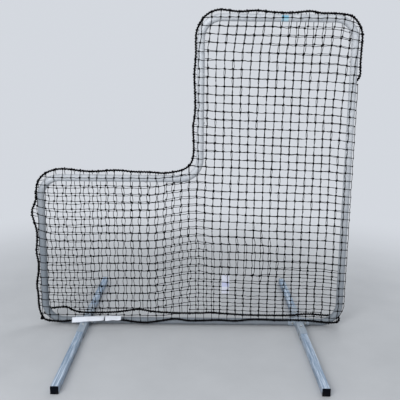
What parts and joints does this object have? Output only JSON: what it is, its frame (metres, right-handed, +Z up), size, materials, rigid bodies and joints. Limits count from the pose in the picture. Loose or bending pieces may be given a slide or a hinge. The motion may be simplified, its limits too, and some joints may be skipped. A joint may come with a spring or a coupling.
{
  "type": "pitching protective L-screen",
  "caption": "Free-standing L-shaped ball-stop screen: galvanised tube frame with a throwing notch, two-layer knotted net, rope border and square skids.",
  "frame": {"origin": "on the ground at the middle of the overall width and of the skids' length", "axes": "+X along the frame to the viewer's right, towards the tall side; +Y away from the viewer, along the skids; +Z up"},
  "size_m": [1.8955, 1.582, 1.8585],
  "materials": {
    "galvanised_tube": "satin",
    "galvanised_connector": "satin",
    "galvanised_skid": "satin",
    "black_cap": "matte",
    "zinc_screw": "satin",
    "net_twine": "matte",
    "border_rope": "matte",
    "white_label": "matte",
    "blue_sticker": "gloss",
    "tag_card": "matte",
    "tag_plastic": "satin"
  },
  "bodies": {
    "screen": {"lower_left_corner": "galvanised_tube", "left_post": "galvanised_tube", "low_shoulder": "galvanised_tube", "inner_corner": "galvanised_tube", "upper_left_corner": "galvanised_tube", "top_rail": "galvanised_tube", "upper_right_corner": "galvanised_tube", "right_post": "galvanised_tube", "lower_right_corner": "galvanised_tube", "bottom_rail": "galvanised_tube", "left_skid_connector": "galvanised_connector", "right_skid_connector": "galvanised_connector", "left_front_skid": "galvanised_skid", "left_rear_skid": "galvanised_skid", "right_front_skid": "galvanised_skid", "right_rear_skid": "galvanised_skid", "left_front_cap": "black_cap", "left_rear_cap": "black_cap", "right_front_cap": "black_cap", "right_rear_cap": "black_cap", "frame_screws": "zinc_screw", "skid_bolts": "zinc_screw", "collar_bolts": "zinc_screw", "front_net_tall": "net_twine", "front_net_low": "net_twine", "rear_net_tall": "net_twine", "rear_net_low": "net_twine", "border_rope": "border_rope", "front_bottom_rope": "border_rope", "rear_bottom_rope": "border_rope", "rope_tie": "border_rope", "long_label": "white_label", "short_label": "white_label", "rail_sticker": "blue_sticker"},
    "tag": {"hang_tag": "tag_card", "tag_loop": "tag_plastic"}
  },
  "joints": [
    {"name": "tag_swing", "type": "hinge", "parent": "screen", "child": "tag", "pos_m": [0.197, 0.01655, 0.33242], "axis": [1, 0, 0], "range_deg": [0, 18]}
  ]
}
